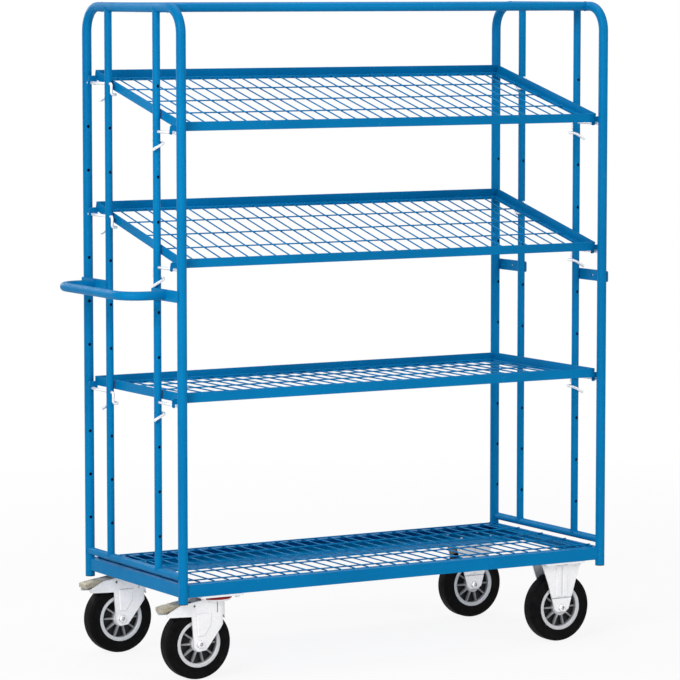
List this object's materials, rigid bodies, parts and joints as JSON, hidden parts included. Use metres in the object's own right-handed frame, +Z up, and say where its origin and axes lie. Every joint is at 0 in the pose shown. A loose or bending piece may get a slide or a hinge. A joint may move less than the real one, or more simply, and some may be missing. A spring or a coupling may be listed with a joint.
{
  "type": "shelf trolley",
  "caption": "Tall tubular steel shelf trolley with a mesh deck, adjustable sloping mesh shelves on pins, a push handle at one end, and braked swivel and fixed casters.",
  "frame": {"origin": "centre of the overall box on the floor", "axes": "+X along the length, away from the push handle; -Y is the low front edge of the sloping shelves; +Z up"},
  "size_m": [1.5425, 0.6, 1.857],
  "materials": {
    "blue_powder_coat": "semi-gloss powder coat",
    "zinc_steel": "bright zinc plate",
    "rim_grey": "moulded grey plastic",
    "tyre_rubber": "matt black rubber",
    "seal_red": "moulded red plastic",
    "pedal_steel": "yellow passivated zinc plate",
    "shoe_rubber": "matt black rubber",
    "plug_black": "moulded black plastic",
    "bearing_nylon": "natural nylon"
  },
  "bodies": {
    "frame": {"caster_fasteners": "zinc_steel", "caster_strips": "blue_powder_coat", "deck_front_rail": "blue_powder_coat", "deck_left_rail": "blue_powder_coat", "deck_mesh": "blue_powder_coat", "deck_rear_rail": "blue_powder_coat", "deck_right_rail": "blue_powder_coat", "end_bars": "blue_powder_coat", "front_left_kingpin": "zinc_steel", "front_left_swivel_balls": "zinc_steel", "front_left_top_plate": "zinc_steel", "front_right_axle": "zinc_steel", "front_right_fork": "zinc_steel", "handle_bar": "blue_powder_coat", "handle_bolts": "zinc_steel", "handle_lugs": "blue_powder_coat", "left_hoop": "blue_powder_coat", "left_uprights": "blue_powder_coat", "lower_shelf_pins": "zinc_steel", "middle_shelf_pins": "zinc_steel", "post_end_plugs": "plug_black", "rear_left_kingpin": "zinc_steel", "rear_left_swivel_balls": "zinc_steel", "rear_left_top_plate": "zinc_steel", "rear_right_axle": "zinc_steel", "rear_right_fork": "zinc_steel", "right_hoop": "blue_powder_coat", "right_uprights": "blue_powder_coat", "top_rails": "blue_powder_coat", "top_shelf_pins": "zinc_steel"},
    "front_left_caster": {"front_left_axle": "zinc_steel", "front_left_brake_pin": "zinc_steel", "front_left_dust_seal": "seal_red", "front_left_fork": "zinc_steel"},
    "front_left_pedal": {"front_left_brake_pedal": "pedal_steel", "front_left_brake_shoe": "shoe_rubber"},
    "rear_left_caster": {"rear_left_axle": "zinc_steel", "rear_left_brake_pin": "zinc_steel", "rear_left_dust_seal": "seal_red", "rear_left_fork": "zinc_steel"},
    "rear_left_pedal": {"rear_left_brake_pedal": "pedal_steel", "rear_left_brake_shoe": "shoe_rubber"},
    "front_left_wheel": {"front_left_rim": "rim_grey", "front_left_tyre": "tyre_rubber", "front_left_wheel_bearing": "bearing_nylon"},
    "rear_left_wheel": {"rear_left_rim": "rim_grey", "rear_left_tyre": "tyre_rubber", "rear_left_wheel_bearing": "bearing_nylon"},
    "front_right_wheel": {"front_right_rim": "rim_grey", "front_right_tyre": "tyre_rubber", "front_right_wheel_bearing": "bearing_nylon"},
    "rear_right_wheel": {"rear_right_rim": "rim_grey", "rear_right_tyre": "tyre_rubber", "rear_right_wheel_bearing": "bearing_nylon"},
    "top_shelf": {"top_shelf_frame": "blue_powder_coat", "top_shelf_mesh": "blue_powder_coat"},
    "middle_shelf": {"middle_shelf_frame": "blue_powder_coat", "middle_shelf_mesh": "blue_powder_coat"},
    "lower_shelf": {"lower_shelf_frame": "blue_powder_coat", "lower_shelf_mesh": "blue_powder_coat"}
  },
  "joints": [
    {"name": "front_left_swivel", "type": "hinge", "parent": "frame", "child": "front_left_caster", "pos_m": [-0.50365, -0.238, 0.222], "axis": [0, 0, 1], "continuous": true},
    {"name": "front_left_wheel_spin", "type": "hinge", "parent": "front_left_caster", "child": "front_left_wheel", "pos_m": [-0.56165, -0.238, 0.1], "axis": [0, 1, 0], "continuous": true},
    {"name": "front_left_brake", "type": "hinge", "parent": "front_left_caster", "child": "front_left_pedal", "pos_m": [-0.57965, -0.238, 0.207], "axis": [0, -1, 0], "range_deg": [0, 10]},
    {"name": "rear_left_swivel", "type": "hinge", "parent": "frame", "child": "rear_left_caster", "pos_m": [-0.50365, 0.238, 0.222], "axis": [0, 0, 1], "continuous": true},
    {"name": "rear_left_wheel_spin", "type": "hinge", "parent": "rear_left_caster", "child": "rear_left_wheel", "pos_m": [-0.56165, 0.238, 0.1], "axis": [0, 1, 0], "continuous": true},
    {"name": "rear_left_brake", "type": "hinge", "parent": "rear_left_caster", "child": "rear_left_pedal", "pos_m": [-0.57965, 0.238, 0.207], "axis": [0, -1, 0], "range_deg": [0, 10]},
    {"name": "front_right_wheel_spin", "type": "hinge", "parent": "frame", "child": "front_right_wheel", "pos_m": [0.62835, -0.238, 0.1], "axis": [0, 1, 0], "continuous": true},
    {"name": "rear_right_wheel_spin", "type": "hinge", "parent": "frame", "child": "rear_right_wheel", "pos_m": [0.62835, 0.238, 0.1], "axis": [0, 1, 0], "continuous": true},
    {"name": "top_shelf_tilt", "type": "hinge", "parent": "frame", "child": "top_shelf", "pos_m": [0.06235, 0.24889, 1.6346], "axis": [-1, 0, 0], "range_deg": [0, 13.99]},
    {"name": "middle_shelf_tilt", "type": "hinge", "parent": "frame", "child": "middle_shelf", "pos_m": [0.06235, 0.24889, 1.2626], "axis": [-1, 0, 0], "range_deg": [0, 13.99]},
    {"name": "lower_shelf_tilt", "type": "hinge", "parent": "frame", "child": "lower_shelf", "pos_m": [0.06235, 0.2565, 0.7666], "axis": [-1, 0, 0], "range_deg": [0, 13.99]}
  ]
}
